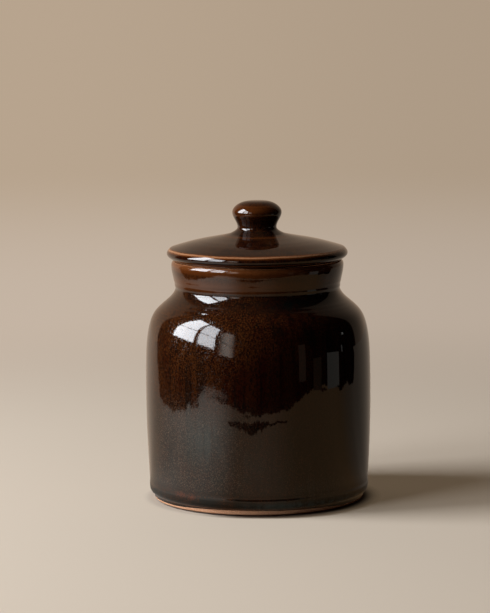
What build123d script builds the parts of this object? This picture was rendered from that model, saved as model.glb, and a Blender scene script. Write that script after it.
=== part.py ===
from build123d import *
import os
from math import hypot

# Glazed stoneware storage jar with a loose domed lid and a mushroom knob luted to its crown.
# Millimetres, +Z up. The origin is the middle of the foot, on the surface that the jar stands on.

# Jar outside, from the foot up to the rim, where each rise is counted from the station below it
foot_set_in = 7.7
foot_bevel_flare = 3.6
foot_bevel_height = 0.9
under_heel_set_in = 2.1
under_heel_rise = 3.5
heel_radius = 77.5
heel_rise = 3.5
belly_radius = 80.0
belly_rise = 76.1
upper_wall_radius = 78.1
upper_wall_rise = 35.6
shoulder_radius = 73.2
shoulder_rise = 13.9
slope_radius = 62.4
slope_rise = 10.2
neck_radius = 58.5
neck_rise = 7.7
lip_overhang = 2.6
lip_rise = 15.4
rim_rise = 3.2
rim_outer_round = 2.0
rim_inner_round = 1.5

# Jar inside, and the hollow trimmed under its foot
wall = 5.0
neck_wall = 4.5
floor_thickness = 6.5
inner_heel_round = 14.0
foot_ring_width = 8.0
foot_recess = 2.5
foot_recess_draft = 1.0

# Lid, whose stations are set in from its widest edge, with each rise counted from the one below
lid_overhang = 3.0
lid_seat_set_in = 4.3
lid_under_set_in = 2.2
lid_under_rise = 1.6
lid_widest_rise = 3.1
lid_corner_set_in = 1.3
lid_corner_rise = 2.7
lid_edge_set_in = 2.9
lid_edge_rise = 1.2
lid_dome_set_in = 18.7
lid_dome_rise = 4.4
lid_crown_rise = 4.6
lid_top_rise = 1.7
lid_thickness = 5.5
flange_depth = 9.0
flange_thickness = 4.5
flange_round = 1.2

# Knob, which stands on the lid's crown inside a narrow shelf
knob_foot_radius = 17.0
knob_shelf = 5.5
knob_waist_radius = 13.8
knob_waist_rise = 4.3
knob_radius = 17.5
knob_widest_rise = 9.9
knob_cap_radius = 14.0
knob_cap_rise = 5.3
knob_top_rise = 2.9

# Clearances between the lid and the jar
seat_clearance = 0.3
mouth_clearance = 1.0

# Directions in which outlines leave their ends, as run out and run up
up = (0, 1)
down = (0, -1)
inward = (-1, 0)
neck_lean = (0.12, 1)
crown_fall = (1, -0.45)
edge_fall = (1, -0.3)
under_turn = (-1, -0.7)
foot_flare = (-1, 0.75)

# Places that more than one piece needs
foot_radius = heel_radius - foot_set_in
lip_radius = neck_radius + lip_overhang
mouth_radius = neck_radius - neck_wall
lid_radius = lip_radius + lid_overhang
heel_height = foot_bevel_height + under_heel_rise + heel_rise
belly_height = heel_height + belly_rise
shoulder_height = belly_height + upper_wall_rise + shoulder_rise
neck_height = shoulder_height + slope_rise + neck_rise
rim_height = neck_height + lip_rise + rim_rise
seat_height = rim_height + seat_clearance
lid_edge_height = seat_height + lid_under_rise + lid_widest_rise + lid_corner_rise + lid_edge_rise
lid_top_height = lid_edge_height + lid_dome_rise + lid_crown_rise + lid_top_rise


def moved_in(stations, thickness):
    """Stations between the ends, moved in by the thickness, square to the line past each."""
    moved = []
    for before, here, after in zip(stations, stations[1:], stations[2:]):
        run_out = after[0] - before[0]
        run_up = after[1] - before[1]
        share = thickness / hypot(run_out, run_up)
        moved.append((here[0] - share * run_up, here[1] + share * run_out))
    return moved


def turned(outline):
    """Solid turned about Z from a closed outline of radius and height."""
    return revolve(make_face(Plane.XZ * outline.line), Axis.Z)


def jar_body():
    """Thrown jar: bevelled foot, bellied wall, sloped shoulder, leaning neck and rounded rim."""
    bevel_top = (foot_radius + foot_bevel_flare, foot_bevel_height)
    under_heel = (heel_radius - under_heel_set_in, foot_bevel_height + under_heel_rise)
    heel = (heel_radius, heel_height)
    belly = (belly_radius, belly_height)
    neck = (neck_radius, neck_height)
    shoulder = [
        belly,
        (upper_wall_radius, belly_height + upper_wall_rise),
        (shoulder_radius, shoulder_height),
        (slope_radius, shoulder_height + slope_rise),
        neck,
    ]
    lip = (lip_radius, neck_height + lip_rise)
    rim_outside = (lip_radius - rim_outer_round, rim_height)
    rim_inside = (mouth_radius + rim_inner_round, rim_height)
    bore_top = (mouth_radius, rim_height - rim_inner_round)
    bore_foot = (mouth_radius, neck_height)
    inner_shoulder = moved_in(shoulder, wall)
    inner_belly = (belly_radius - wall, belly_height)
    floor_height = foot_recess + floor_thickness
    inner_heel = (heel_radius - wall, floor_height + inner_heel_round)
    floor_edge = (heel_radius - wall - inner_heel_round, floor_height)
    recess_foot = (foot_radius - foot_ring_width, 0)
    recess_top = (foot_radius - foot_ring_width - foot_recess_draft, foot_recess)
    with BuildLine() as outline:
        Polyline(recess_top, recess_foot, (foot_radius, 0), bevel_top, under_heel)
        TangentArc(heel, under_heel, tangent=down)
        TangentArc(belly, heel, tangent=down)
        Spline(*shoulder, tangents=[up, neck_lean])
        Spline(neck, lip, tangents=[neck_lean, up])
        Spline(lip, rim_outside, tangents=[up, inward])
        Line(rim_outside, rim_inside)
        TangentArc(rim_inside, bore_top, tangent=inward)
        Line(bore_top, bore_foot)
        Spline(bore_foot, *reversed(inner_shoulder), inner_belly, tangents=[down, down])
        TangentArc(inner_belly, inner_heel, tangent=down)
        Spline(inner_heel, floor_edge, tangents=[down, inward])
        Polyline(floor_edge, (0, floor_height), (0, foot_recess), recess_top)
    return turned(outline)


def lid():
    """Domed lid: rolled edge, bare seat over the rim and a flange that drops into the mouth."""
    under = (lid_radius - lid_under_set_in, seat_height + lid_under_rise)
    widest = (lid_radius, seat_height + lid_under_rise + lid_widest_rise)
    corner = (lid_radius - lid_corner_set_in, lid_edge_height - lid_edge_rise)
    edge = (lid_radius - lid_edge_set_in, lid_edge_height)
    crown = (knob_foot_radius, lid_top_height)
    dome = [
        crown,
        (knob_foot_radius + knob_shelf, lid_top_height - lid_top_rise),
        (lid_radius - lid_dome_set_in, lid_edge_height + lid_dome_rise),
        edge,
    ]
    flange_radius = mouth_radius - mouth_clearance
    flange_foot = seat_height - flange_depth
    flange_outside = (flange_radius, flange_foot + flange_round)
    foot_outside = (flange_radius - flange_round, flange_foot)
    foot_inside = (flange_radius - flange_thickness + flange_round, flange_foot)
    flange_inside = (flange_radius - flange_thickness, flange_foot + flange_round)
    flange_root = (flange_radius - flange_thickness, seat_height)
    seat_edge = (lid_radius - lid_seat_set_in, seat_height)
    under_dome = moved_in(dome[::-1], lid_thickness)
    middle = (0, lid_top_height - lid_thickness)
    with BuildLine() as outline:
        Polyline(middle, (0, lid_top_height), crown)
        Spline(*dome, tangents=[crown_fall, edge_fall])
        Spline(edge, corner, widest, tangents=[edge_fall, down])
        Spline(widest, under, tangents=[down, under_turn])
        Polyline(under, seat_edge, (flange_radius, seat_height), flange_outside)
        TangentArc(flange_outside, foot_outside, tangent=down)
        Line(foot_outside, foot_inside)
        TangentArc(foot_inside, flange_inside, tangent=inward)
        Line(flange_inside, flange_root)
        Spline(flange_root, *under_dome, middle, tangents=[up, inward])
    return turned(outline)


def lid_knob():
    """Mushroom knob: flared foot luted flat to the lid's crown, narrow waist and domed cap."""
    waist_height = lid_top_height + knob_waist_rise
    widest_height = waist_height + knob_widest_rise
    cap_height = widest_height + knob_cap_rise
    foot = (knob_foot_radius, lid_top_height)
    waist = (knob_waist_radius, waist_height)
    widest = (knob_radius, widest_height)
    cap = (knob_cap_radius, cap_height)
    top = (0, cap_height + knob_top_rise)
    with BuildLine() as outline:
        Polyline(top, (0, lid_top_height), foot)
        Spline(foot, waist, tangents=[foot_flare, up])
        Spline(waist, widest, tangents=[up, up])
        Spline(widest, cap, top, tangents=[up, inward])
    return turned(outline)


os.makedirs("parts", exist_ok=True)
export_step(jar_body(), "parts/jar_body.step")
export_step(lid(), "parts/lid.step")
export_step(lid_knob(), "parts/lid_knob.step")
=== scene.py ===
import bpy
import math
import numpy as np
from mathutils import Matrix


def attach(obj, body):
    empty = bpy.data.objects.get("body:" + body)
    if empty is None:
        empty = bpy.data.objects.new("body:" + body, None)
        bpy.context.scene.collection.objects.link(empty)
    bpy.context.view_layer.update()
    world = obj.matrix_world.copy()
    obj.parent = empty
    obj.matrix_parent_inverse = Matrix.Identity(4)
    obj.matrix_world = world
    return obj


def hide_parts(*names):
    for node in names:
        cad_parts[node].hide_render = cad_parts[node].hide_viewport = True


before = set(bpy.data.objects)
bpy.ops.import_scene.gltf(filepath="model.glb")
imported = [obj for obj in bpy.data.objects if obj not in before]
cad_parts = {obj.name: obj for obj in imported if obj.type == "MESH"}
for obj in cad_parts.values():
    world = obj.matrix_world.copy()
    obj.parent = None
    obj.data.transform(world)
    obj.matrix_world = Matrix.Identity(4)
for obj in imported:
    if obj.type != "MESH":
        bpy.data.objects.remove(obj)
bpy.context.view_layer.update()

# Dark glazed stoneware storage jar, with its lid and knob. Metres, +Z up, middle of the foot at the origin.

print("frame loaded")


# Outlines: each stretch is an array of radius and height

def unitWay(way):
    way = np.asarray(way, float)
    return way / np.hypot(way[0], way[1])


def curveThrough(stations, startWay, endWay, count=60):
    # Cubic through the stations with chord lengths as knots. The ends leave at unit speed in the ways
    # given, and the slopes between come from equal second derivatives on both sides of a station.
    stations = np.asarray(stations, float)
    steps = np.diff(stations, axis=0)
    gaps = np.hypot(steps[:, 0], steps[:, 1])
    knots = np.concatenate(([0.0], np.cumsum(gaps)))
    system = np.eye(len(stations))
    sides = np.zeros_like(stations)
    sides[0] = unitWay(startWay)
    sides[-1] = unitWay(endWay)
    inner = np.arange(1, len(stations) - 1)
    system[inner, inner - 1] = gaps[inner]
    system[inner, inner] = 2 * (gaps[inner - 1] + gaps[inner])
    system[inner, inner + 1] = gaps[inner - 1]
    ratio = (gaps[inner] / gaps[inner - 1])[:, None]
    sides[inner] = 3 * (ratio * steps[inner - 1] + steps[inner] / ratio)
    slopes = np.linalg.solve(system, sides)
    along = np.linspace(0, knots[-1], count)
    span = np.clip(np.searchsorted(knots, along, side="right") - 1, 0, len(gaps) - 1)
    gap = gaps[span][:, None]
    t = (along - knots[span])[:, None] / gap
    return (stations[span] * (1 + 2 * t) * (1 - t) ** 2 + stations[span + 1] * t ** 2 * (3 - 2 * t)
            + gap * (slopes[span] * t * (1 - t) ** 2 - slopes[span + 1] * t ** 2 * (1 - t)))


def arcFrom(start, way, end, count=40):
    # Circle that leaves start in the given way and ends at end: its centre lies square to the way
    start = np.asarray(start, float)
    chord = np.asarray(end, float) - start
    way = unitWay(way)
    square = np.array([-way[1], way[0]])
    radius = chord @ chord / (2 * chord @ square)
    turn = 2 * math.atan2(chord @ square, chord @ way)
    angle = np.linspace(0, turn, count)[:, None]
    return start + radius * (square * (1 - np.cos(angle)) + way * np.sin(angle))


def straight(*points, count=30):
    points = np.asarray(points, float)
    t = np.linspace(0, len(points) - 1, count * (len(points) - 1) + 1)
    return np.stack([np.interp(t, np.arange(len(points)), points[:, k]) for k in (0, 1)], axis=1)


def movedIn(stations, thickness):
    # Inner stations, moved square to the line between their neighbours
    stations = np.asarray(stations, float)
    run = stations[2:] - stations[:-2]
    share = thickness / np.hypot(run[:, 0], run[:, 1])
    return stations[1:-1] + share[:, None] * np.stack([-run[:, 1], run[:, 0]], axis=1)


def softened(values, spread, odd=False):
    # Gaussian average along the outline; past the axis a radius is carried on with its sign turned
    reach = int(4 * spread) + 1
    weight = np.exp(-0.5 * (np.arange(-reach, reach + 1) / spread) ** 2)
    sign = -1 if odd else 1
    longer = np.concatenate((sign * values[reach:0:-1], values, sign * values[-2:-reach - 2:-1]))
    return np.convolve(longer, weight / weight.sum(), mode="valid")


def outlineRows(stretches, rows, cornerRound, fineness, closer):
    # One outline from its stretches, in even steps, with each corner rounded by an average along it.
    # Rows lie closer together where the outline bends: their density is 1 + fineness times the bend,
    # and more between the heights and outside the radius that each entry of closer gives.
    line = np.concatenate(stretches)
    gone = np.hypot(*np.diff(line, axis=0).T)
    line = line[np.concatenate(([True], gone > 1e-9))]
    gone = np.concatenate(([0.0], np.cumsum(np.hypot(*np.diff(line, axis=0).T))))
    step = 0.00005
    even = np.linspace(0, gone[-1], int(gone[-1] / step))
    radius = softened(np.interp(even, gone, line[:, 0]), cornerRound / step, odd=True)
    height = softened(np.interp(even, gone, line[:, 1]), cornerRound / step)
    angle = np.unwrap(np.arctan2(np.gradient(height), np.gradient(radius)))
    bend = softened(np.gradient(angle) / step, 6)
    times = np.ones(len(even))
    for lowest, highest, narrowest, more in closer:
        times[(height > lowest) & (height < highest) & (radius > narrowest)] = more
    density = softened(times * (1 + fineness * np.minimum(np.abs(bend), 900)), 20)
    share = np.concatenate(([0.0], np.cumsum(0.5 * (density[1:] + density[:-1]))))
    place = np.interp(np.linspace(0, share[-1], rows), share, even)
    wideBend = softened(bend, 10)
    row = {"along": place, "radius": np.interp(place, even, radius), "height": np.interp(place, even, height),
           "angle": np.interp(place, even, angle), "bend": np.interp(place, even, wideBend)}
    row["radius"][[0, -1]] = 0.0
    return row


def smoothStep(low, high, value):
    t = np.clip((value - low) / (high - low), 0, 1)
    return t * t * (3 - 2 * t)


def waves(value, *terms):
    # Sum of sines: each term is a height, a wave length and a phase
    return sum(height * np.sin(2 * math.pi * value / length + phase) for height, length, phase in terms)


def lobes(angle, *terms):
    # Sum of sines round the piece: each term is a height, a count and a phase
    return sum(height * np.sin(count * angle + phase) for height, count, phase in terms)


def hump(value, middle, spread):
    # Bell curve, 1 at the middle
    return np.exp(-0.5 * ((value - middle) / spread) ** 2)


def humps(value, *terms):
    # Sum of bell curves: each term is a height, a middle and a spread
    return sum(height * hump(value, middle, spread) for height, middle, spread in terms)


def awayFrom(angle, degrees):
    # Turn in radians from a heading: 0 faces the camera, 90 its right
    return (angle - math.radians(degrees - 90) + math.pi) % (2 * math.pi) - math.pi


def facing(angle, degrees):
    # 1 where the surface faces that heading, -1 where it faces away
    return np.cos(angle - math.radians(degrees - 90))


# What the glaze reads from each piece, 0 to 1. thin: it runs off edges and breaks to amber, and on the lid
# and knob it also lays painted highlights and reflections. pooled: it gathers, black, and in places it
# is painted shade. rust: scorched spots, and painted shade along the foot's lowest edge. bare: clay. grain
# and rough: how flecked and how uneven it is. dark: thick, so that it loses its brown. bloom: grey-green
# clouds.
maskNames = ("thinAndGlint", "pooledAndShade", "rustAndShade", "bare", "grain", "rough", "dark", "bloom")


def turnedPiece(name, v, stretches, relief, masks):
    # The outline carried round Z: x = r cos a, y = r sin a. Relief moves each point square to the outline.
    row = outlineRows(stretches(v), v["rows"], v["cornerRound"], v["fineness"], v["closerRows"])
    around = v["around"]
    angle = np.linspace(0, 2 * math.pi, around, endpoint=False)
    rows = len(row["radius"])
    raised = relief(row, angle) * np.ones((rows, around))
    radius = row["radius"][:, None] + raised * np.sin(row["angle"])[:, None]
    height = row["height"][:, None] - raised * np.cos(row["angle"])[:, None]
    radius[[0, -1]] = 0.0
    grid = np.stack([radius * np.cos(angle), radius * np.sin(angle), height], axis=2)
    ring = grid[1:-1].reshape(-1, 3)
    poles = np.array([[0, 0, height[0].mean()], [0, 0, height[-1].mean()]])
    points = np.concatenate((ring, poles))
    first, last = len(ring), len(ring) + 1
    column = np.arange(around)
    follow = (column + 1) % around
    start = np.arange(rows - 3)[:, None] * around
    corners = [start + column, start + follow, start + around + follow, start + around + column]
    end = (rows - 3) * around
    capOne = np.stack([np.full(around, first), follow, column], axis=1)
    capTwo = np.stack([np.full(around, last), end + column, end + follow], axis=1)
    faces = np.stack(corners, axis=2).reshape(-1, 4).tolist() + capOne.tolist() + capTwo.tolist()
    mesh = bpy.data.meshes.new(name)
    mesh.from_pydata(points.tolist(), [], faces)
    mesh.polygons.foreach_set("use_smooth", np.ones(len(faces), bool))
    given = masks(row, angle)
    for label in maskNames:
        values = given.get(label, 0.0) * np.ones((rows, around))
        flat = np.concatenate((values[1:-1].ravel(), values[0, :1], values[-1, :1]))
        layer = mesh.attributes.new(label, "FLOAT", "POINT")
        layer.data.foreach_set("value", flat.astype(np.float32))
    mesh.update()
    piece = bpy.data.objects.new(name, mesh)
    bpy.context.collection.objects.link(piece)
    return piece


down, up, inward, outward = (0, -1), (0, 1), (-1, 0), (1, 0)

# Jar body

jarValues = dict(
    # Outline: radius and height, from the foot up
    footRadius=0.0706, bevelTop=(0.0743, 0.0008), underHeel=(0.0754, 0.0044), heel=(0.0775, 0.0079),
    lowerWall=(0.07917, 0.0400), middleWall=(0.07986, 0.0660), belly=(0.0800, 0.0840),
    upperBelly=(0.07976, 0.0975), upperWall=(0.0781, 0.1196), shoulder=(0.0732, 0.1335),
    slope=(0.0624, 0.1437), neck=(0.0585, 0.1514), neckSide=(0.0604, 0.1608), lip=(0.0611, 0.1668),
    rimHeight=0.1700, rimOuterRound=0.0020, rimInnerRound=0.0015, heelLean=(0.066, 1.0), neckLean=(0.12, 1.0),
    wall=0.0050, mouthRadius=0.0540, floorTop=0.0090, innerHeelRound=0.0140,
    ringWidth=0.0080, recess=0.0025, recessDraft=0.0010,
    rows=380, around=256, cornerRound=0.00035, fineness=0.012,
    closerRows=((0.146, 1.0, 0.0562, 6.0), (0.1372, 0.146, 0.0595, 5.0), (0.0016, 0.016, 0.0715, 5.0)),
    # Waves: height, length and phase
    rings=((0.0000024, 0.0127, 0.4), (0.0000014, 0.0081, 2.0), (0.0000008, 0.0053, 1.0)),
    innerRings=((0.00018, 0.0115, 0.0), (0.00008, 0.0072, 1.0)), floorRing=(0.00016, 0.0105, 0.0),
    # Lobes round the piece: height, count and phase
    climb=((0.0005, 1, 1.1), (0.0003, 2, 0.0)), outOfRound=((0.00006, 2, 0.7), (0.00004, 3, 2.1)),
    rollWave=(0.0002, 5, 0.0),
    sag=((0.0012, 3, 0.6), (0.0008, 5, 2.0), (0.0005, 11, 0.0)),
    raggedHeel=((0.0007, 4, 1.0), (0.0006, 9, 2.5), (0.0003, 23, 0.0)),
    bareLine=((0.00018, 3, 0.5), (0.00012, 7, 1.0)),
    # Ridges and hollows: height, place and spread
    neckRidges=((0.00008, 0.1561, 0.0008), (0.00018, 0.1521, 0.0007)),
    neckHollows=((0.00006, 0.1541, 0.0008), (0.00016, 0.1500, 0.0010)),
    shoulderRidges=((0.00045, 0.1413, 0.00075), (0.00035, 0.1392, 0.00060)),
    ridgesHeading=-27, ridgesSpread=15, ridgesLeast=0.20, ridgesLeft=0.25,
    # Roll of glaze at the heel, and the groove in front along its top
    leftHeading=-60, rollTop=0.0130, rollLeft=0.0012, rollDepth=0.00038, rollFall=(0.0024, 0.0014),
    rollFoot=(0.0045, 0.0085), grooveHeading=3, grooveReach=(0.925, 0.985), groove=(0.00010, 0.0014, 0.0006),
    # Where relief begins: up the outside, off the inner floor, and off the axis
    outsideFrom=(0.006, 0.012), insideFrom=(0.010, 0.020), axisFade=(0.004, 0.012),
    # Glaze: strength first, then heights, or the middle and the spread
    lipBands=((0.10, 0.150, 0.153), (0.44, 0.1630, 0.1682)), neckBand=(0.16, 0.1565, 0.0024),
    insideLip=0.7, cornerBend=(220, 520), cornerThin=0.85, cornersFrom=0.10, fringe=(0.42, 0.0048, 0.0006),
    heelPool=(0.0135, 0.0105), heelGap=(0.7, 0.0048, 0.0005), lowPool=(0.55, 0.088, 0.060),
    # Black under the neck, in part painted shade, and how much less of it lies on the lit left
    neckPoolAndShade=(0.85, 0.1450, 0.0036), neckShadeLeft=0.5, heelBloom=(1.00, 0.0068, 0.0022),
    # The first two are painted shade along the foot's lowest edge, under its bevel; the last two shape the
    # scorched spots
    footEdgeShade=(0.0002, 0.0007), footEdge=(0.0010, 0.0004), rustTall=0.0011, rustAmount=0.7,
    # Bare clay: up to this height, higher in front, with a sharp edge, and all under the foot
    bareHeight=0.0025, bareFront=0.0013, bareReach=(0.60, 0.93), bareEdge=(-0.00015, 0.00015),
    underFoot=(0.0005, 0.0035),
    flecked=(0.35, 0.118, 0.100), roughFrom=(0.066, 0.092),
    darkBelly=(0.90, 0.094, 0.019), darkNeck=(0.80, 0.1455, 0.0042),
    # Spots: heading, width in degrees, height. Clouds: also how tall and how strong
    rustPlaces=((-44, 2.6, 0.0122), (-37, 1.6, 0.0114), (63, 3.0, 0.0118), (121, 2.0, 0.0125),
                (204, 3.4, 0.0119)),
    bloomPlaces=((-27, 8, 0.052, 0.011, 0.62), (-6, 20, 0.034, 0.012, 0.12), (35, 11, 0.017, 0.006, 0.35),
                 (96, 18, 0.050, 0.020, 0.35), (158, 14, 0.040, 0.018, 0.40), (236, 16, 0.055, 0.020, 0.35)),
)


def jarStretches(v):
    # Under the foot and up the outside to the rim, then down the bore and the inside to the floor's middle
    shoulder = [v["belly"], v["upperWall"], v["shoulder"], v["slope"], v["neck"]]
    outerWall = [v["heel"], v["lowerWall"], v["middleWall"], v["upperBelly"], *shoulder[1:]]
    foot = (v["footRadius"], 0)
    recessFoot = (v["footRadius"] - v["ringWidth"], 0)
    recessTop = (recessFoot[0] - v["recessDraft"], v["recess"])
    rimOutside = (v["lip"][0] - v["rimOuterRound"], v["rimHeight"])
    rimInside = (v["mouthRadius"] + v["rimInnerRound"], v["rimHeight"])
    boreTop = (v["mouthRadius"], v["rimHeight"] - v["rimInnerRound"])
    boreFoot = (v["mouthRadius"], v["neck"][1])
    innerBelly = (v["belly"][0] - v["wall"], v["belly"][1])
    innerHeel = (v["heel"][0] - v["wall"], v["floorTop"] + v["innerHeelRound"])
    floorEdge = (innerHeel[0] - v["innerHeelRound"], v["floorTop"])
    innerShoulder = [boreFoot, *movedIn(shoulder, v["wall"])[::-1], innerBelly]
    return [
        straight((0, v["recess"]), recessTop, recessFoot, foot, v["bevelTop"], v["underHeel"]),
        arcFrom(v["heel"], down, v["underHeel"])[::-1],
        curveThrough(outerWall, v["heelLean"], v["neckLean"], 400),
        curveThrough([v["neck"], v["neckSide"], v["lip"]], v["neckLean"], up, 90),
        curveThrough([v["lip"], rimOutside], up, inward),
        straight(rimOutside, rimInside),
        arcFrom(rimInside, inward, boreTop),
        straight(boreTop, boreFoot),
        curveThrough(innerShoulder, down, down, 240),
        arcFrom(innerBelly, down, innerHeel),
        curveThrough([innerHeel, floorEdge], down, inward),
        straight(floorEdge, (0, v["floorTop"])),
    ]


def jarRelief(row, angle):
    # Throwing rings are slow faint waves up the wall that climb a little round it. Two fine ridges stand at
    # the neck's foot, and two below it that are strongest at the front's left. The wall is out of round by a
    # few hundredths of a millimetre. The roll of glaze at the heel swells out below its top line, and a fine
    # groove parts it from the wall in front. Inside, the rings are deeper, and a spiral on the floor.
    v = jarValues
    height = row["height"][:, None]
    along = row["along"][:, None]
    top = row["along"][np.argmax(row["height"])]
    outside = smoothStep(*v["outsideFrom"], height) * (along < top + 0.001)
    inside = (along > top + 0.004) * 1.0
    onFloor = inside * (1 - smoothStep(*v["insideFrom"], height))
    left = 0.5 + 0.5 * facing(angle, v["leftHeading"])
    climb = height + lobes(angle, *v["climb"])
    nearRidges = hump(awayFrom(angle, v["ridgesHeading"]), 0, math.radians(v["ridgesSpread"]))
    ridges = humps(climb, *v["neckRidges"]) * (1 - v["ridgesLeft"] * left)
    shoulderShare = v["ridgesLeast"] + (1 - v["ridgesLeast"]) * nearRidges
    ridges = ridges + humps(climb, *v["shoulderRidges"]) * shoulderShare
    outOfRound = lobes(angle, *v["outOfRound"])
    wallRelief = outside * (waves(climb, *v["rings"]) + ridges - humps(climb, *v["neckHollows"]) + outOfRound)
    spiral = row["radius"][:, None] + v["floorRing"][1] * angle / (2 * math.pi)
    innerRelief = (inside - onFloor) * (waves(climb, *v["innerRings"]) + outOfRound)
    innerRelief = innerRelief + onFloor * waves(spiral, v["floorRing"])
    fade = smoothStep(*v["axisFade"], row["radius"])[:, None]
    rollTop = v["rollTop"] + v["rollLeft"] * left + lobes(angle, v["rollWave"])
    fall = smoothStep(rollTop, rollTop - v["rollFall"][0] - v["rollFall"][1] * left, height)
    roll = v["rollDepth"] * fall * smoothStep(*v["rollFoot"], height) * (along < top)
    depth, below, spread = v["groove"]
    front = smoothStep(*v["grooveReach"], facing(angle, v["grooveHeading"]))
    groove = depth * front * hump(height, rollTop - below, spread) * outside
    return fade * (wallRelief + innerRelief) + roll - groove


def jarMasks(row, angle):
    # The glaze runs off the lip, the rim's corners and the heel's lowest edge. It gathers under the neck, low
    # on the wall and in the roll at the heel, which ends in a wavy line above the bare foot. The black under
    # the neck is in part painted shade, with less of it on the lit left, and painted shade darkens the bare
    # foot along its lowest edge. It is flecked and uneven on the left and behind on the right, and thick and
    # dark at the belly and under the neck.
    v = jarValues
    height = row["height"][:, None]
    outside = (row["along"] < row["along"][np.argmax(row["height"])])[:, None] * 1.0
    left = facing(angle, -45)
    sag = lobes(angle, *v["sag"])
    (upperThin, *upperHeights), (lipThin, *lipHeights) = v["lipBands"]
    lipBand = upperThin * smoothStep(*upperHeights, height)
    lipBand = lipBand + lipThin * smoothStep(*lipHeights, height + 0.4 * sag)
    lipBand = lipBand + humps(height + 0.3 * sag, v["neckBand"])
    corners = (smoothStep(*v["cornerBend"], row["bend"]) * (row["height"] > v["cornersFrom"]))[:, None]
    thinAndGlint = np.maximum(lipBand * np.where(outside > 0, 1.0, v["insideLip"]), v["cornerThin"] * corners)
    thinAndGlint = np.maximum(thinAndGlint, humps(height, v["fringe"]) * outside)
    heelPool = smoothStep(*v["heelPool"], height + lobes(angle, *v["raggedHeel"]))
    heelPool = heelPool * (1 - humps(height, v["heelGap"]))
    # In part painted shade: less of it on the lit left
    deepest, *neckPlace = v["neckPoolAndShade"]
    neckPoolAndShade = hump(height, *neckPlace) * (deepest - v["neckShadeLeft"] * smoothStep(0.5, 0.95, left))
    lowPool = v["lowPool"][0] * smoothStep(*v["lowPool"][1:], height)
    pooledAndShade = outside * np.maximum(np.maximum(heelPool, lowPool), neckPoolAndShade)
    # Painted shade along the foot's lowest edge, under its bevel, in the same mask as the scorched spots
    footEdge = smoothStep(*(v["footRadius"] - inwards for inwards in v["footEdge"]), row["radius"])[:, None]
    rustAndShade = hump(height, *v["footEdgeShade"]) * footEdge
    for direction, wide, low in v["rustPlaces"]:
        spot = hump(awayFrom(angle, direction), 0, math.radians(wide)) * hump(height, low, v["rustTall"])
        rustAndShade = np.maximum(rustAndShade, v["rustAmount"] * spot)
    bloom = humps(height, v["heelBloom"]) * smoothStep(0.95, 0.45, left)
    for direction, wide, middle, tall, amount in v["bloomPlaces"]:
        cloud = hump(awayFrom(angle, direction), 0, math.radians(wide)) * hump(height, middle, tall)
        bloom = np.maximum(bloom, amount * cloud)
    front = smoothStep(*v["bareReach"], facing(angle, 0))
    edge = v["bareHeight"] + v["bareFront"] * front + lobes(angle, *v["bareLine"])
    inwards, below = v["underFoot"]
    underFoot = (row["height"] < below) & (row["radius"] < v["footRadius"] - inwards)
    bare = np.maximum(1 - smoothStep(*v["bareEdge"], height - edge), underFoot[:, None])
    start, *fleckHeights = v["flecked"]
    flecked = smoothStep(start + 0.35 * smoothStep(*fleckHeights, height), 0.97, left)
    grain = 0.08 + 0.62 * flecked + 0.35 * smoothStep(0.5, 1.0, -left)
    rough = 0.03 + (grain - 0.06) * (0.30 + 0.70 * smoothStep(*v["roughFrom"], height))
    darkBelly = humps(height, v["darkBelly"]) * (1 - smoothStep(0.6, 0.95, left))
    darkNeck = humps(height, v["darkNeck"]) * (1 - 0.7 * smoothStep(0.4, 0.95, left))
    return dict(thinAndGlint=thinAndGlint, pooledAndShade=pooledAndShade, rustAndShade=rustAndShade * outside, bare=bare * outside, grain=grain, rough=rough,
                dark=np.maximum(darkBelly, darkNeck) * outside, bloom=bloom * outside)


jarBody = turnedPiece("jar_body_glazed", jarValues, jarStretches, jarRelief, jarMasks)
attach(jarBody, "jar")
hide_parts("jar_body")
print("jar body made")

# Lid

lidValues = dict(
    # Outline: radius, and height over the seat
    seatHeight=0.1703, seatRadius=0.0598, under=(0.0619, 0.0016), widest=(0.0641, 0.0047),
    corner=(0.0628, 0.0074), edge=(0.0612, 0.0086), dome=(0.0454, 0.0130), crown=(0.0225, 0.0176),
    top=(0.0170, 0.0193), crownFall=(1.0, -0.45), edgeFall=(1.0, -0.3), underTurn=(-1.0, -0.7),
    thickness=0.0055, flangeRadius=0.0530, flangeThickness=0.0045, flangeDepth=0.0090, flangeRound=0.0012,
    rows=300, around=256, cornerRound=0.00030, fineness=0.012, closerRows=((0.1703, 1.0, 0.0590, 3.0),),
    # Relief and glaze, as on the jar
    rings=((0.000012, 0.0092, 0.3), (0.000006, 0.0057, 1.4)), underRings=6.0, outOfRound=(0.00005, 2, 2.0),
    # Pale lines: at the top corner, glaze breaking to amber with a painted highlight; at the lowest corner
    # and round the knob, painted reflections
    waver=((0.00012, 5, 1.0), (0.0001, 13, 0.3)), topBreakAndGlint=(0.0625, 0.00085), lowGlint=(0.75, 0.0002, 0.0004),
    flangeThin=0.6, flangeBend=(400, 800), domeThin=0.03, knobGlint=(0.21, 0.0238, 0.0011),
    domeEdge=(0.063, 0.059), domePool=0.15, grain=0.15, rough=0.12, axisFade=(0.004, 0.014),
    climb=(0.0004, 1, 0.4), wiped=(0.0003, 4, 1.0), bareFrom=0.0505, bareRise=0.0003, flangeEnd=0.0535,
)


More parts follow.
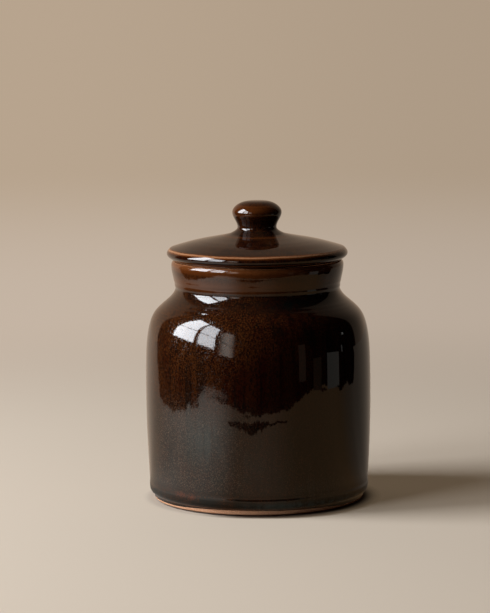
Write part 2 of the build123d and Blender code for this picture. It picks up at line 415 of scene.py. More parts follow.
def lidStretches(v):
    # From the middle underneath out to the flange, round it to the seat and the edge, then up the dome
    seat = v["seatHeight"]
    names = ("under", "widest", "corner", "edge", "dome", "crown", "top")
    under, widest, corner, edge, dome, crown, top = ((v[name][0], seat + v[name][1]) for name in names)
    flangeFoot = seat - v["flangeDepth"]
    flangeRadius, rounding = v["flangeRadius"], v["flangeRound"]
    flangeInner = flangeRadius - v["flangeThickness"]
    outerRound = ((flangeRadius, flangeFoot + rounding), (flangeRadius - rounding, flangeFoot))
    innerRound = ((flangeInner + rounding, flangeFoot), (flangeInner, flangeFoot + rounding))
    underDome = movedIn([edge, dome, crown, top], v["thickness"])
    middle = (0, top[1] - v["thickness"])
    return [
        curveThrough([middle, *underDome[::-1], (flangeInner, seat)], outward, down, 160),
        straight((flangeInner, seat), innerRound[1]),
        arcFrom(innerRound[0], inward, innerRound[1])[::-1],
        straight(innerRound[0], outerRound[1]),
        arcFrom(outerRound[0], down, outerRound[1])[::-1],
        straight(outerRound[0], (flangeRadius, seat), (v["seatRadius"], seat), under),
        curveThrough([widest, under], down, v["underTurn"])[::-1],
        curveThrough([edge, corner, widest], v["edgeFall"], down)[::-1],
        curveThrough([top, crown, dome, edge], v["crownFall"], v["edgeFall"], 160)[::-1],
        straight(top, (0, top[1])),
    ]


def lidRelief(row, angle):
    # Turning rings on the dome and deeper ones under it, waves of the radius, and a little out of round
    v = lidValues
    above = (row["along"] > row["along"][np.argmax(row["radius"])])[:, None]
    rings = waves(row["radius"][:, None] + lobes(angle, v["climb"]), *v["rings"])
    fade = smoothStep(*v["axisFade"], row["radius"])[:, None]
    return fade * (rings * np.where(above, 1.0, v["underRings"]) + lobes(angle, v["outOfRound"]))


def lidMasks(row, angle):
    # The glaze breaks to pale amber in a line along the top corner of the edge, and its brightness there is
    # in part a painted highlight. A finer pale line along its lowest corner and a faint one round the knob
    # are painted reflections. The seat and the flange's outside are bare, wiped in a wavy line.
    v = lidValues
    radius, height, along = row["radius"], row["height"], row["along"]
    above = along > along[np.argmax(radius)]
    lineRadius, lineSpread = v["topBreakAndGlint"]
    corner = np.interp(lineRadius, radius[above][::-1], along[above][::-1])
    lower = along[np.argmin(np.hypot(radius - v["under"][0], height - v["seatHeight"] - v["under"][1]))]
    waver = lobes(angle, *v["waver"])
    # Glaze breaking to amber along the top corner, brightened as a painted highlight
    topBreakAndGlint = hump(along[:, None], corner + waver, lineSpread)
    # Painted reflection along the lowest corner
    lowGlintStrength, lowRise, lowSpread = v["lowGlint"]
    lowGlint = lowGlintStrength * hump(along[:, None], lower + lowRise + 0.5 * waver, lowSpread)
    onDome = (smoothStep(*v["domeEdge"], radius) * above)[:, None]
    flangeEdge = (smoothStep(*v["flangeBend"], row["bend"]) * (radius < v["flangeEnd"]))[:, None]
    plain = np.maximum(v["flangeThin"] * flangeEdge, v["domeThin"] * onDome)
    # Painted reflection round the knob
    plain = np.maximum(plain, (humps(radius, v["knobGlint"]) * above)[:, None])
    thinAndGlint = np.maximum(np.maximum(topBreakAndGlint, lowGlint), plain)
    wiped = height[:, None] + lobes(angle, v["wiped"])
    onSeat = (wiped < v["seatHeight"] + v["bareRise"]) & (radius > v["bareFrom"])[:, None]
    return dict(thinAndGlint=thinAndGlint, pooledAndShade=v["domePool"] * onDome, bare=onSeat * 1.0,
                grain=v["grain"], rough=v["rough"])


lid = turnedPiece("lid_glazed", lidValues, lidStretches, lidRelief, lidMasks)
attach(lid, "lid")
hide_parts("lid")
print("lid made")

# Knob

knobValues = dict(
    # Outline: radius, and height over the lid's crown
    footHeight=0.1896, waist=(0.0138, 0.0037), widest=(0.0175, 0.0142), cap=(0.0140, 0.0195), height=0.0224,
    skirt=(0.0213, -0.00155), skirtRise=(-1.0, 0.33), footTurn=(0.0167, 0.0005),
    sunk=0.0004, baseRadius=0.0160,
    rows=170, around=192, cornerRound=0.00025, fineness=0.012, closerRows=(), outOfRound=(0.00006, 2, 1.0),
    axisFade=(0.003, 0.010), footFade=(0.1895, 0.1920),
    # Glaze, as on the jar
    # The lower cap line is a painted reflection, and the deeper pool at the foot is in part painted shade
    capLinesAndGlint=((0.20, 0.0188, 0.0008), (0.19, 0.0128, 0.0006)), capThin=(0.18, 0.0165, 0.0032),
    poolsAndShade=((0.05, 0.0110, 0.0060), (0.50, 0.0030, 0.0010)), grain=0.15, rough=0.12, dark=0.1,
)


def knobStretches(v):
    # The foot is drawn out into a skirt that runs out under the lid's surface
    base = v["footHeight"]
    names = ("waist", "widest", "cap", "skirt", "footTurn")
    waist, widest, cap, skirt, turn = ((v[name][0], base + v[name][1]) for name in names)
    under = base - v["sunk"]
    return [
        straight((0, under), (v["baseRadius"], under), (skirt[0], skirt[1] - v["sunk"]), skirt),
        curveThrough([skirt, turn, waist], v["skirtRise"], up, 90),
        curveThrough([waist, widest], up, up),
        curveThrough([widest, cap, (0, base + v["height"])], up, inward, 120),
    ]


def knobRelief(row, angle):
    # A little out of round, but not at the top's middle or where it meets the lid
    v = knobValues
    fade = smoothStep(*v["axisFade"], row["radius"]) * smoothStep(*v["footFade"], row["height"])
    return fade[:, None] * lobes(angle, v["outOfRound"])


def knobMasks(row, angle):
    # Faint lines where the cap turns over and under, the lower one a painted reflection, warm brown between
    # them, and darker glaze at the foot that is in part painted shade where the knob meets the lid
    v = knobValues
    rise = (row["height"] - v["footHeight"])[:, None]
    # The line under the cap is a painted reflection
    thinAndGlint = np.maximum(humps(rise, *v["capLinesAndGlint"]), humps(rise, v["capThin"]))
    # Deeper at the foot, in part painted shade where the knob meets the lid
    pooledAndShade = sum(amount * smoothStep(high, low, rise) for amount, high, low in v["poolsAndShade"])
    return dict(thinAndGlint=thinAndGlint, pooledAndShade=pooledAndShade, grain=v["grain"], rough=v["rough"], dark=v["dark"])


knob = turnedPiece("lid_knob_glazed", knobValues, knobStretches, knobRelief, knobMasks)
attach(knob, "lid")
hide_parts("lid_knob")
print("knob made")

# Materials


class Nodes:
    # Shorthands for a node tree: add() makes a node and links or sets its inputs by name or number
    def __init__(self, tree):
        self.tree = tree
        tree.nodes.clear()

    def add(self, kind, inputs=None, **settings):
        node = self.tree.nodes.new(kind)
        for name, value in settings.items():
            setattr(node, name, value)
        for name, value in (inputs or {}).items():
            if isinstance(value, bpy.types.NodeSocket):
                self.tree.links.new(value, node.inputs[name])
            else:
                node.inputs[name].default_value = value
        return node

    def math(self, operation, *values, clamp=False):
        node = self.add("ShaderNodeMath", dict(enumerate(values)), operation=operation, use_clamp=clamp)
        return node.outputs[0]

    def plus(self, first, second, clamp=False):
        return self.math("ADD", first, second, clamp=clamp)

    def times(self, first, *others, clamp=False):
        for value in others:
            first = self.math("MULTIPLY", first, value, clamp=clamp)
        return first

    def rest(self, value):
        return self.math("SUBTRACT", 1.0, value)

    def parts(self, place):
        return self.add("ShaderNodeSeparateXYZ", {"Vector": place}).outputs

    def dot(self, place, way):
        return self.add("ShaderNodeVectorMath", {0: place, 1: way}, operation="DOT_PRODUCT").outputs["Value"]

    def noise(self, place, squeeze, scale, detail, roughness):
        # A squeeze under 1 draws the pattern out along Z
        if squeeze != 1:
            place = self.add("ShaderNodeMapping", {"Vector": place, "Scale": (1, 1, squeeze)}).outputs[0]
        shape = {"Vector": place, "Scale": scale, "Detail": detail, "Roughness": roughness}
        return self.add("ShaderNodeTexNoise", shape).outputs["Fac"]

    def span(self, value, low, high, outLow=0.0, outHigh=1.0):
        ends = {"Value": value, "From Min": low, "From Max": high, "To Min": outLow, "To Max": outHigh}
        return self.add("ShaderNodeMapRange", ends, interpolation_type="SMOOTHSTEP").outputs[0]

    def mix(self, share, first, second):
        # In a colour mix the inputs 6 and 7 are the two colours
        return self.add("ShaderNodeMix", {0: share, 6: first, 7: second}, data_type="RGBA").outputs[2]

    def bump(self, height, distance, strength):
        sockets = {"Height": height, "Distance": distance, "Strength": strength}
        return self.add("ShaderNodeBump", sockets).outputs[0]

    def principled(self, colour, roughness, normal, **others):
        inputs = {"Base Color": colour, "Roughness": roughness, "Normal": normal, **others}
        return self.add("ShaderNodeBsdfPrincipled", inputs).outputs[0]

    def background(self, colour, strength):
        return self.add("ShaderNodeBackground", {"Color": colour, "Strength": strength}).outputs[0]

    def emission(self, colour, strength):
        return self.add("ShaderNodeEmission", {"Color": colour, "Strength": strength}).outputs[0]

    def addShaders(self, first, second):
        return self.add("ShaderNodeAddShader", {0: first, 1: second}).outputs[0]

    def mixShaders(self, share, first, second):
        return self.add("ShaderNodeMixShader", {0: share, 1: first, 2: second}).outputs[0]


def newMaterial(name):
    material = bpy.data.materials.new(name)
    material.use_nodes = True
    return material, Nodes(material.node_tree)


def srgb(red, green, blue):
    # Written as a picture shows it, 0 to 255, and turned to the linear colour that Blender takes
    parts = np.array([red, green, blue]) / 255
    linear = np.where(parts <= 0.04045, parts / 12.92, ((parts + 0.055) / 1.055) ** 2.4)
    return (*linear.tolist(), 1.0)


glazeValues = dict(
    deep=(36, 6, 3), brown=(55, 27, 10), gold=(76, 43, 18), warm=(82, 42, 16), amber=(108, 62, 32),
    pale=(160, 114, 82), black=(9, 14, 12), bloom=(50, 61, 61), fleck=(128, 114, 98), pit=(8, 6, 6),
    # The last colour is painted shade, along the foot's lowest edge and on the floor where the foot touches
    rustAndShade=(96, 44, 24), clay=(224, 174, 138), clayDark=(198, 146, 112), creviceShade=(62, 36, 18),
    gloss=0.022, ior=1.5, clayRoughness=0.85, clayBump=(0.0002, 0.6),
    lowWall=(0.115, 0.085), heelTop=(0.012, 0.019), bareFrom=(0.4, 0.6), clayGrain=(0.35, 0.65),
    # Patterns: squeeze along Z, scale, detail and roughness
    patterns=dict(
        cloud=(1, 28, 2, 0.5), patch=(1, 105, 3, 0.6), curtain=(0.05, 170, 2, 0.6),
        mottle=(0.12, 330, 3, 0.65),
        streak=(0.12, 520, 2, 0.6), soot=(0.6, 900, 2, 0.8), speck=(1, 1250, 1, 0.8), grit=(1, 1500, 3, 0.7),
        peel=(1, 760, 2, 0.65), ripple=(1, 230, 1, 0.5), slowWave=(1, 60, 1, 0.5), runs=(0.12, 800, 1, 0.5),
        pits=(1, 1200, 0, 0.5)),
    # Height of each pattern's bumps in metres: everywhere, and added where the glaze is rough
    relief=dict(peel=(0.0, 0.000026), ripple=(0.0000022, 0.000030), slowWave=(0.000013, 0.0),
                runs=(0.0, 0.000012), pits=(0.0, -0.000030)),
    pitsFrom=(0.68, 0.80),
    # Spans of a pattern or a mask, low to high, and what they become if that isn't 0 to 1
    brownCloud=(0.36, 0.66, 0, 0.6), brownStreak=(0.36, 0.66, 0, 0.35),
        brownCurtain=(0.40, 0.64, -0.10, 0.30),
    brownMottle=(0.35, 0.65, -0.12, 0.12), darkCurtain=(0.46, 0.36), goldSpeck=(0.40, 0.66),
    goldGrain=(0.05, 0.6, 0.18, 0.88), sootSpan=(0.56, 0.38), warmThin=(0.02, 0.26), amberThin=(0.34, 0.66),
    paleThin=(0.62, 0.95), blackSpeck=(0.40, 0.60, 1, 0.62), blackPatch=(0.35, 0.65, 0.62, 1.25),
    blackCurtain=(0.38, 0.62, 0.75, 1.2), bloomCloud=(0.80, 1.16, 0.25, 1.0), fleckSpeck=(0.50, 0.72),
    rustSpeck=(0.35, 0.60, 0.3, 1),
    # How much of a coat is laid on, and how much less gold there is low on the wall
    curtainPit=0.7, sootPit=0.80, fleckShare=0.75, leastFleck=0.05, lowGold=-0.65, streakedThin=0.5,
)


def makeGlaze(v):
    # Coats of colour from the lowest up, each with the share in which it hides those below it. Streaks,
    # curtains and mottling are noises that are drawn out down the wall.
    material, n = newMaterial("tenmoku_glaze")
    place = n.add("ShaderNodeTexCoord").outputs["Object"]
    height = n.parts(place)["Z"]
    thinAndGlint, pooledAndShade, rustAndShade, bare, grain, rough, dark, bloom = (
        n.add("ShaderNodeAttribute", attribute_name=name).outputs["Fac"] for name in maskNames)
    patterns = {name: n.noise(place, *shape) for name, shape in v["patterns"].items()}
    cloud, patch, curtain, mottle, streak, soot, speck, grit = (
        patterns[name] for name in ("cloud", "patch", "curtain", "mottle", "streak", "soot", "speck", "grit"))
    low = n.times(n.span(height, *v["lowWall"]), n.span(height, *v["heelTop"]))
    brownness = n.plus(n.span(cloud, *v["brownCloud"]), n.span(streak, *v["brownStreak"]))
    brownness = n.plus(n.times(brownness, n.rest(dark)), n.span(curtain, *v["brownCurtain"]))
    brownness = n.plus(brownness, n.span(mottle, *v["brownMottle"]), clamp=True)
    golden = n.times(n.span(grain, *v["goldGrain"]), n.rest(dark),
                     n.math("MULTIPLY_ADD", low, v["lowGold"], 1.0))
    ragged = n.plus(thinAndGlint, n.times(n.math("SUBTRACT", streak, 0.5), n.times(thinAndGlint, v["streakedThin"])))
    gathered = n.times(n.span(speck, *v["blackSpeck"]), n.span(patch, *v["blackPatch"]),
                       n.span(curtain, *v["blackCurtain"]))
    flecks = n.times(n.plus(grain, v["leastFleck"]), pooledAndShade, low, n.span(speck, *v["fleckSpeck"]))
    coats = (
        ("brown", brownness),
        ("pit", n.times(n.span(curtain, *v["darkCurtain"]), v["curtainPit"])),
        ("gold", n.times(n.span(speck, *v["goldSpeck"]), golden)),
        ("pit", n.times(n.span(soot, *v["sootSpan"]), v["sootPit"])),
        # These amber coats also lay the painted highlights and reflections on the lid and knob
        ("warm", n.span(ragged, *v["warmThin"])),
        ("amber", n.span(ragged, *v["amberThin"])),
        ("pale", n.span(ragged, *v["paleThin"])),
        # The black coat also lays painted shade under the neck and at the knob's foot
        ("black", n.times(pooledAndShade, gathered, clamp=True)),
        ("bloom", n.times(bloom, n.span(n.plus(mottle, cloud), *v["bloomCloud"]))),
        ("fleck", n.times(flecks, v["fleckShare"], clamp=True)),
        ("rustAndShade", n.times(rustAndShade, n.span(speck, *v["rustSpeck"]))),
    )
    body = srgb(*v["deep"])
    for name, share in coats:
        body = n.mix(share, body, srgb(*v[name]))
    patterns["pits"] = n.span(patterns["pits"], *v["pitsFrom"])
    lumps = 0.0
    for name, (always, added) in v["relief"].items():
        lumps = n.plus(lumps, n.times(patterns[name], n.math("MULTIPLY_ADD", rough, added, always)))
    glass = n.principled(body, v["gloss"], n.bump(lumps, 1.0, 1.0), IOR=v["ior"])
    clayColour = n.mix(n.span(grit, *v["clayGrain"]), srgb(*v["clayDark"]), srgb(*v["clay"]))
    # Painted shade: the clay darkens along the foot's lowest edge, under its bevel
    clayColour = n.mix(rustAndShade, clayColour, srgb(*v["creviceShade"]))
    clay = n.principled(clayColour, v["clayRoughness"], n.bump(grit, *v["clayBump"]))
    n.add("ShaderNodeOutputMaterial", {"Surface": n.mixShaders(n.span(bare, *v["bareFrom"]), glass, clay)})
    return material


glaze = makeGlaze(glazeValues)
for piece in (jarBody, lid, knob):
    piece.data.materials.append(glaze)
print("materials made")

# Floor, surroundings and lamps

studioValues = dict(
    # The floor and backdrop that the camera sees
    floor=(203, 195, 185), lowBackdrop=(191, 175, 159), highBackdrop=(178, 159, 138),
    floorRadius=3.0, drop=0.0002,
    sides=96, backdropFrom=1.0, farFloorFade=(0.30, 0.95), lean=0.07, leanReach=(-0.1, 0.1), cameraBack=1.9,
    # Round the foot: glow in its shade, a painted dark shade line where it touches, and light for the foot's
    # underside
    shadeGlow=(0.080, 0.058, 0.036), shadeReach=(0.074, 0.085), footShade=0.85, footReach=(0.0765, 0.0830),
    footShadeRight=(-0.1, 0.6, 0.0, 0.006), footShadeLeft=(-0.6, -0.1, 0.2, 1.0),
    underGlow=0.55, underReach=(0.0702, 0.0690), bounced=(95, 85, 75), bouncedReach=(0.085, 0.125),
    # The floor as the glaze mirrors it: colours, and how dim it is by the foot. side and ahead run from -1
    # to 1 round the jar, to its right and to behind it.
    leftFloor=(1.12, 1.00, 0.88), middleFloor=(0.42, 0.28, 0.18), rightFloor=(0.27, 0.16, 0.078),
    farFloor=(190, 171, 152), nearShade=0.38, nearReach=(0.085, 0.135),
    middleFrom=(-0.75, -0.28), rightFrom=(0.0, 0.6), farFrom=(-0.15, 0.45), farDim=(-0.2, 0.2, -0.42, -0.74),
    dip=-0.30, dipAhead=((-0.30, 0.10), (0.80, 0.45)), dipSide=(0.0, -0.3), dipClose=(0.35, 0.15),
    nearerReach=(0.42, 0.22, -0.08, 0.22), nearerSide=(-0.35, -0.65), nearerAhead=(0.45, 0.15),
    # Surroundings as the glaze mirrors them: pale between two headings, fading upwards, and dark elsewhere
    backdrop=(188, 163, 140), dark=(0.004, 0.003, 0.0025),
    leftCorner=-128.0, rightCorner=120.0, cornerSoftness=0.02, higher=(-0.86, 0.88),
    leftGlow=(-0.95, 0.25, 1.55, 0.95), rightGlow=(0.35, 0.85, 1.0, 0.36),
)


def plainMesh(name, points, faces):
    mesh = bpy.data.meshes.new(name)
    mesh.from_pydata(np.asarray(points, float).tolist(), [], faces)
    mesh.update()
    made = bpy.data.objects.new(name, mesh)
    bpy.context.collection.objects.link(made)
    return made


def heading(degrees):
    # Level direction: 0 towards the camera, 90 to its right
    turn = math.radians(degrees)
    return np.array([math.sin(turn), -math.cos(turn), 0.0])


def glossyOnly(item):
    item.visible_camera = item.visible_diffuse = item.visible_shadow = False
    item.visible_transmission = item.visible_volume_scatter = False


def glowMaterial(name, colour, strength, again=1.0, fade=None):
    # again: how much of its glow is left when it is mirrored a second time. fade: a way, the places along it
    # between which the glow rises, and those between which it falls again.
    material, n = newMaterial(name)
    if again < 1:
        depth = n.add("ShaderNodeLightPath").outputs["Ray Depth"]
        strength = n.span(depth, 1.4, 1.6, strength, strength * again)
    if fade:
        way, rise, fall = fade
        along = n.dot(n.add("ShaderNodeTexCoord").outputs["Object"], way)
        strength = n.times(strength, n.times(n.span(along, *rise), n.span(along, *fall)))
    n.add("ShaderNodeOutputMaterial", {"Surface": n.emission(colour, strength)})
    return material


def leaning(n, v, place):
    # The backdrop is a little brighter on the left than on the right
    return n.span(place, *v["leanReach"], 1 + v["lean"], 1 - v["lean"])


def floorSeen(n, v, across, distance, side, toCamera):
    # Pale and plain, with a painted soft shade round the foot, and running into the backdrop far off
    bounce = n.mix(n.span(distance, *v["bouncedReach"]), srgb(*v["floor"]), srgb(*v["bounced"]))
    colour = n.mix(toCamera, bounce, srgb(*v["floor"]))
    reach = n.math("SUBTRACT", distance, n.span(side, *v["footShadeRight"]))
    # Painted shade on the floor round the foot, strongest in front and on the right, weak on the lit left
    paintedContactShade = n.times(n.span(reach, *v["footReach"], v["footShade"], 0.0), n.span(side, *v["footShadeLeft"]))
    colour = n.mix(paintedContactShade, colour, srgb(*glazeValues["creviceShade"]))
    matt = n.add("ShaderNodeBsdfDiffuse", {"Color": colour}).outputs[0]
    inShade = n.times(toCamera, n.span(distance, *v["shadeReach"]))
    matt = n.addShaders(matt, n.emission((*v["shadeGlow"], 1.0), inShade))
    hidden = n.times(n.rest(toCamera), n.span(distance, *v["underReach"], 0.0, v["underGlow"]))
    matt = n.addShaders(matt, n.emission(srgb(*v["floor"]), hidden))
    farther = n.span(distance, v["backdropFrom"], v["floorRadius"])
    ground = n.mix(farther, srgb(*v["lowBackdrop"]), srgb(*v["highBackdrop"]))
    lean = n.math("DIVIDE", across, n.plus(distance, v["cameraBack"]))
    far = n.times(n.span(distance, *v["farFloorFade"]), toCamera)
    return n.mixShaders(far, matt, n.emission(ground, leaning(n, v, lean)))


def floorMirrored(n, v, distance, side, ahead):
    # A glow seen only in the glaze, standing in for the lit floor: bright on the window's side, dimmer in
    # front and on the right, pale behind, and darker near the foot
    colour = n.mix(n.span(side, *v["middleFrom"]), (*v["leftFloor"], 1.0), (*v["middleFloor"], 1.0))
    colour = n.mix(n.span(side, *v["rightFrom"]), colour, (*v["rightFloor"], 1.0))
    behind = n.span(ahead, *v["farFrom"])
    colour = n.mix(behind, colour, srgb(*v["farFloor"]))
    strength = n.math("MULTIPLY_ADD", n.times(behind, side), n.span(side, *v["farDim"]), 1.0)
    dip = n.times(*(n.span(ahead, *reach) for reach in v["dipAhead"]),
                  n.math("MAXIMUM", n.span(side, *v["dipSide"]), n.span(ahead, *v["dipClose"])))
    nearer = n.times(n.span(distance, *v["nearerReach"]), n.span(side, *v["nearerSide"]),
                     n.span(ahead, *v["nearerAhead"]))
    shaded = n.span(distance, *v["nearReach"], v["nearShade"], 1.0)
    strength = n.times(strength, n.math("MULTIPLY_ADD", dip, v["dip"], 1.0), shaded, n.rest(nearer))
    return n.emission(colour, strength)


def makeFloor(v):
    # A round floor that is clear from below, so that the jar's foot can be seen through it
    turn = np.linspace(0, 2 * math.pi, v["sides"], endpoint=False)
    rim = v["floorRadius"] * np.stack([np.cos(turn), np.sin(turn)], axis=1)
    points = np.column_stack((rim, np.full(v["sides"], -v["drop"])))
    floor = plainMesh("floor", points, [list(range(v["sides"]))])
    material, n = newMaterial("pale_floor")
    place = n.add("ShaderNodeTexCoord").outputs["Object"]
    parts = n.parts(place)
    distance = n.add("ShaderNodeVectorMath", {0: place}, operation="LENGTH").outputs["Value"]
    side, ahead = (n.math("DIVIDE", parts[name], n.plus(distance, 0.001)) for name in ("X", "Y"))
    rays = n.add("ShaderNodeLightPath").outputs
    seen = floorSeen(n, v, parts["X"], distance, side, rays["Is Camera Ray"])
    seen = n.mixShaders(rays["Is Glossy Ray"], seen, floorMirrored(n, v, distance, side, ahead))
    under = n.add("ShaderNodeNewGeometry").outputs["Backfacing"]
    clear = n.add("ShaderNodeBsdfTransparent").outputs[0]
    n.add("ShaderNodeOutputMaterial", {"Surface": n.mixShaders(under, seen, clear)})
    floor.data.materials.append(material)


def makeWorld(v):
    # Pale behind the jar, brighter on the left and dimmer higher up, and dark in front and overhead
    world = bpy.data.worlds.new("studio")
    bpy.context.scene.world = world
    world.use_nodes = True
    n = Nodes(world.node_tree)
    way = n.add("ShaderNodeTexCoord").outputs["Generated"]
    parts = n.parts(way)
    soft = v["cornerSoftness"]
    corners = (v["leftCorner"] - 90, v["rightCorner"] + 90)
    pale = n.times(*(n.span(n.dot(way, heading(corner)), -soft, soft) for corner in corners))
    higher = n.math("MULTIPLY_ADD", parts["Z"], *v["higher"], clamp=True)
    sideways = n.times(n.span(parts["X"], *v["leftGlow"]), n.span(parts["X"], *v["rightGlow"]))
    strength = n.times(pale, higher, sideways)
    around = n.addShaders(n.background(srgb(*v["backdrop"]), strength), n.background((*v["dark"], 1.0), 1.0))
    behind = n.background(srgb(*v["highBackdrop"]), leaning(n, v, parts["X"]))
    toCamera = n.add("ShaderNodeLightPath").outputs["Is Camera Ray"]
    n.add("ShaderNodeOutputWorld", {"Surface": n.mixShaders(toCamera, around, behind)})


# The camera, in pixels of the picture, metres and degrees
cameraValues = dict(focalPixels=2700.0, longSide=613, middle=(245.0, 306.5), back=1.9019, height=0.3863,
                    pitch=7.485, yaw=-0.270, roll=-0.465)


def cameraWays(v):
    # Directions to the right, up and into the picture
    pitch, yaw, roll = (math.radians(v[name]) for name in ("pitch", "yaw", "roll"))
    forward = np.array([math.sin(yaw) * math.cos(pitch), math.cos(yaw) * math.cos(pitch), -math.sin(pitch)])
    levelRight = np.array([math.cos(yaw), -math.sin(yaw), 0.0])
    levelUp = np.cross(levelRight, forward)
    right = math.cos(roll) * levelRight + math.sin(roll) * levelUp
    upward = math.cos(roll) * levelUp - math.sin(roll) * levelRight
    return right, upward, forward


# Where the floor turns dark, seen only in the glaze. The edge starts behind the jar on the left, in metres,
# and goes on round the front to the right, in pixels of the picture where the wall mirrors it. Dark patches
# lie nearer than the edge, each between a near and a far line in pixels
roomValues = dict(
    behindLeft=((-2.30, 1.63), (-1.14, 0.735), (-0.80, 0.484), (-0.61, 0.305), (-0.48, 0.190)),
    edge=((170, 408), (177, 410.5), (186, 409), (188, 405.5), (195, 402), (199, 398), (201.5, 392),
          (205, 389), (212, 388.5), (220, 392), (228, 397), (234, 405), (240, 411), (250, 413.5),
          (258, 415.5), (266, 414.5), (270, 412.5), (280, 411), (290, 408), (297, 401), (303, 396),
          (310, 391), (316, 386), (325, 384), (335, 385), (341, 388), (347, 381), (349, 383.5),
          (353, 383), (354, 368), (354, 352)),
    patches=(
        (((205, 396.2), (213, 398.5), (221, 403), (229, 407.5), (236, 410)),
         ((205, 395.2), (213, 396), (221, 397.5), (229, 400), (236, 407))),
        (((228, 424), (236, 430), (245, 433), (255, 434.5), (262, 432), (268, 428), (273, 425), (287, 423.5)),
         ((228, 421), (236, 422), (245, 424), (255, 422.5), (266, 423), (278, 422), (288, 421.5))),
        (((190, 408), (199, 409)), ((190, 404), (199, 404))),
        (((243.2, 417.1), (247, 419.5), (251, 417.5)), ((243, 416.5), (247.2, 417), (251, 417))),
        (((319, 389), (323, 392), (327, 391)), ((320, 387.8), (323, 388), (327.2, 390.2))),
        (((339, 391), (343, 389)), ((339.2, 387.1), (342, 385))),
    ),
    # Rows of the wall that the mirrored places are worked out from, how high up it they go, and the
    # decimals of a metre that the places are kept to
    wallRows=7000, wallTop=0.14, decimals=3,
    edgeCount=1200, patchCount=240, drawnIn=0.025, outer=3.0, lift=0.001,
    # Uneven steps of the edges: how far they go, how abrupt they are, and the waves that they come from
    ragged=0.011, abrupt=1.4,
    steps=((1.0, 0.131, 0.4), (0.8, 0.067, 1.9), (0.7, 0.031, 0.2), (0.5, 0.0147, 2.2)),
)


def floorLine(v, corners, count, fixedEnds):
    # Even steps along the corners, and the same line with each point moved out from the middle or in by a sum
    # of sines pushed towards its ends
    corners = np.array(corners)
    gone = np.concatenate(([0.0], np.cumsum(np.hypot(*np.diff(corners, axis=0).T))))
    along = np.linspace(0, gone[-1], count)
    line = np.stack([np.interp(along, gone, corners[:, k]) for k in (0, 1)], axis=1)
    fade = np.sqrt(np.sin(np.linspace(0, math.pi, count))) if fixedEnds else 1.0
    moved = v["ragged"] * np.tanh(v["abrupt"] * waves(along + corners[0, 0], *v["steps"]))
    return line, line * (1 + moved * fade / np.hypot(line[:, 0], line[:, 1]))[:, None]


def jarWall(v):
    # Radius, height and slope of the plain wall outside, from the rim down
    wall = outlineRows(jarStretches(jarValues), v["wallRows"], jarValues["cornerRound"], 0.0, ())
    down = slice(np.argmax(wall["height"]), None, -1)
    return [wall[name][down] for name in ("radius", "height", "angle")]


def mirroredOnFloor(v, camera, wall, pixels):
    # Places on the floor that the wall mirrors at some pixels: each ray meets the wall between the last row
    # outside which it passes and the next one, and goes on from there as the wall's slope turns it
    radius, height, slope = wall
    right, upward, forward = cameraWays(camera)
    eye = np.array([0, -camera["back"], camera["height"]])
    aside = np.array(pixels) - camera["middle"]
    rays = camera["focalPixels"] * forward + aside[:, :1] * right - aside[:, 1:] * upward
    gone = (height - eye[2]) / rays[:, 2:]
    away = np.hypot(eye[0] + gone * rays[:, :1], eye[1] + gone * rays[:, 1:2]) - radius
    inside = np.argmax((away <= 0) & (height < v["wallTop"]), axis=1)
    each = np.arange(len(rays))
    before, after = away[each, inside - 1], away[each, inside]
    share = before / (before - after)
    reach = gone[each, inside - 1] + share * (gone[each, inside] - gone[each, inside - 1])
    met = eye + reach[:, None] * rays
    turn = slope[inside - 1] + share * (slope[inside] - slope[inside - 1])
    out = met[:, :2] / np.hypot(met[:, :1], met[:, 1:2]) * np.sin(turn)[:, None]
    square = np.column_stack((out, -np.cos(turn)))
    mirrored = rays - 2 * np.sum(rays * square, axis=1)[:, None] * square
    places = met - (met[:, 2] / mirrored[:, 2])[:, None] * mirrored
    return places[:, :2].round(v["decimals"])


def makeRoomEdge(v):
    # Flat bands between two lines: everything past the edge, and the patches
    wall = jarWall(v)
    corners = np.concatenate((v["behindLeft"], mirroredOnFloor(v, cameraValues, wall, v["edge"])))
    material = glowMaterial("dark_room", (*studioValues["dark"], 1.0), 1.0)
    line, inner = floorLine(v, corners, v["edgeCount"], False)
    bands = [(inner * (1 - v["drawnIn"]), line / np.hypot(line[:, 0], line[:, 1])[:, None] * v["outer"])]
    for patch in v["patches"]:
        lines = [mirroredOnFloor(v, cameraValues, wall, pixels) for pixels in patch]
        bands.append([floorLine(v, corners, v["patchCount"], True)[1] for corners in lines])
    for number, (first, second) in enumerate(bands):
        points = np.concatenate((first, second))
        points = np.column_stack((points, np.full(len(points), v["lift"])))
        count = len(first)
        start = np.arange(count - 1)
        faces = np.stack([start, start + 1, start + 1 + count, start + count], axis=1)
        band = plainMesh(f"room_dark_{number}", points, faces.tolist())
        band.data.materials.append(material)
        glossyOnly(band)


# The windows that the glaze mirrors, in shares of their distance. Each has its left and right, foot, head at
# the left and at the right, strength, colour, and where its glow rises and falls if its sides fade out
windowValues = dict(
    heading=-100.0, distance=2.4, bar=0.57, barHalf=0.012, again=0.15,
    windows=((0.02, 0.58, 0.21, 1.36, 1.36, 19.0, (240, 243, 248), ()),
             (0.70, 1.42, 0.22, 1.32, 1.28, 13.0, (240, 243, 248), ()),
             (1.62, 4.50, 0.12, 1.18, 2.05, 2.6, (238, 226, 214), ((1.50, 2.30), (4.40, 2.50)))),
)


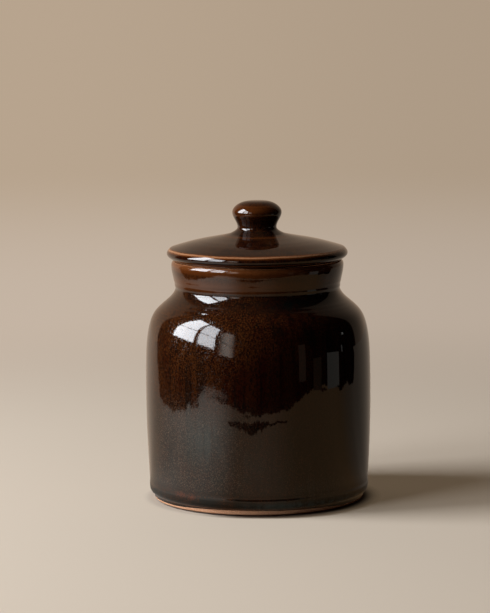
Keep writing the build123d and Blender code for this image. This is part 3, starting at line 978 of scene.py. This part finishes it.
def makeWindows(v):
    # Flat windows side by side, each of two panes with a glazing bar between them
    toWindows = heading(v["heading"])
    along = heading(v["heading"] + 90)
    under, over = v["bar"] - v["barHalf"], v["bar"] + v["barHalf"]
    for number, (left, right, low, highLeft, highRight, strength, colour, fade) in enumerate(v["windows"]):
        fade = fade and (along / v["distance"], *fade)
        material = glowMaterial(f"window_{number}", srgb(*colour), strength, v["again"], fade)
        for part, heights in enumerate(((low, low, under, under), (over, over, highRight, highLeft))):
            corners = zip((left, right, right, left), heights)
            points = [v["distance"] * (toWindows + side * along + (0, 0, rise)) for side, rise in corners]
            pane = plainMesh(f"window_{number}_{part}", points, [[0, 1, 2, 3]])
            pane.data.materials.append(material)
            glossyOnly(pane)


# Each lamp: heading, rise in degrees, distance, size and power
lampValues = dict(
    aimHeight=0.1, colour=(1.0, 0.975, 0.945),
    lamps=(("window_light", -84, 33, 2.2, (1.0, 1.3), 58),
           ("second_window_light", -52, 30, 2.2, (0.7, 1.3), 17)),
)


def makeLamps(v):
    aim = np.array([0, 0, v["aimHeight"]])
    for name, direction, rise, distance, size, power in v["lamps"]:
        data = bpy.data.lights.new(name, "AREA")
        data.shape = "RECTANGLE"
        data.size, data.size_y = size
        data.energy = power
        data.color = v["colour"]
        lamp = bpy.data.objects.new(name, data)
        bpy.context.collection.objects.link(lamp)
        lift = math.radians(rise)
        place = distance * (heading(direction) * math.cos(lift) + (0, 0, math.sin(lift)))
        lamp.location = (aim + place).tolist()
        tilt = math.atan2(math.hypot(place[0], place[1]), place[2])
        lamp.rotation_euler = (tilt, 0, math.atan2(-place[1], -place[0]) - math.pi / 2)
        lamp.visible_camera = False
        lamp.visible_glossy = False


# Small pale things at the right that the glaze mirrors: headings from and to, distance, foot, heights at
# both ends, glow and colour
cardValues = (
    ("tall_card", 70.4, 85.5, 0.655, 0.0, 0.112, 0.100, 0.27, (238, 232, 220)),
    ("dim_card", 54.5, 63.5, 0.655, 0.0, 0.095, 0.095, 0.085, (238, 200, 160)),
    ("far_card", 40.0, 47.0, 0.80, 0.0, 0.235, 0.235, 0.135, (238, 205, 175)),
    ("small_light", 97.5, 100.0, 2.3, 0.45, 0.54, 0.54, 0.8, (238, 236, 232)),
    ("low_light", 93.2, 95.0, 2.3, 0.04, 0.18, 0.18, 0.3, (238, 236, 232)),
)


def makeCards(cards):
    for name, start, end, distance, low, highStart, highEnd, glow, colour in cards:
        first, second = distance * heading(start), distance * heading(end)
        corners = [first + (0, 0, low), second + (0, 0, low),
                   second + (0, 0, highEnd), first + (0, 0, highStart)]
        card = plainMesh(name, corners, [[0, 1, 2, 3]])
        card.data.materials.append(glowMaterial(name, srgb(*colour), glow))
        glossyOnly(card)


makeFloor(studioValues)
makeWorld(studioValues)
makeRoomEdge(roomValues)
makeWindows(windowValues)
makeCards(cardValues)
makeLamps(lampValues)
print("studio made")

# Camera

def makeCamera(v):
    right, upward, forward = cameraWays(v)
    data = bpy.data.cameras.new("camera")
    data.sensor_width = 36
    data.lens = v["focalPixels"] * data.sensor_width / v["longSide"]
    camera = bpy.data.objects.new("camera", data)
    bpy.context.collection.objects.link(camera)
    place = np.eye(4)
    place[:3] = np.stack([right, upward, -forward, (0, -v["back"], v["height"])], axis=1)
    camera.matrix_world = Matrix(place.tolist())
    bpy.context.scene.camera = camera


makeCamera(cameraValues)
bpy.context.scene.view_settings.view_transform = "Standard"
print("camera made")
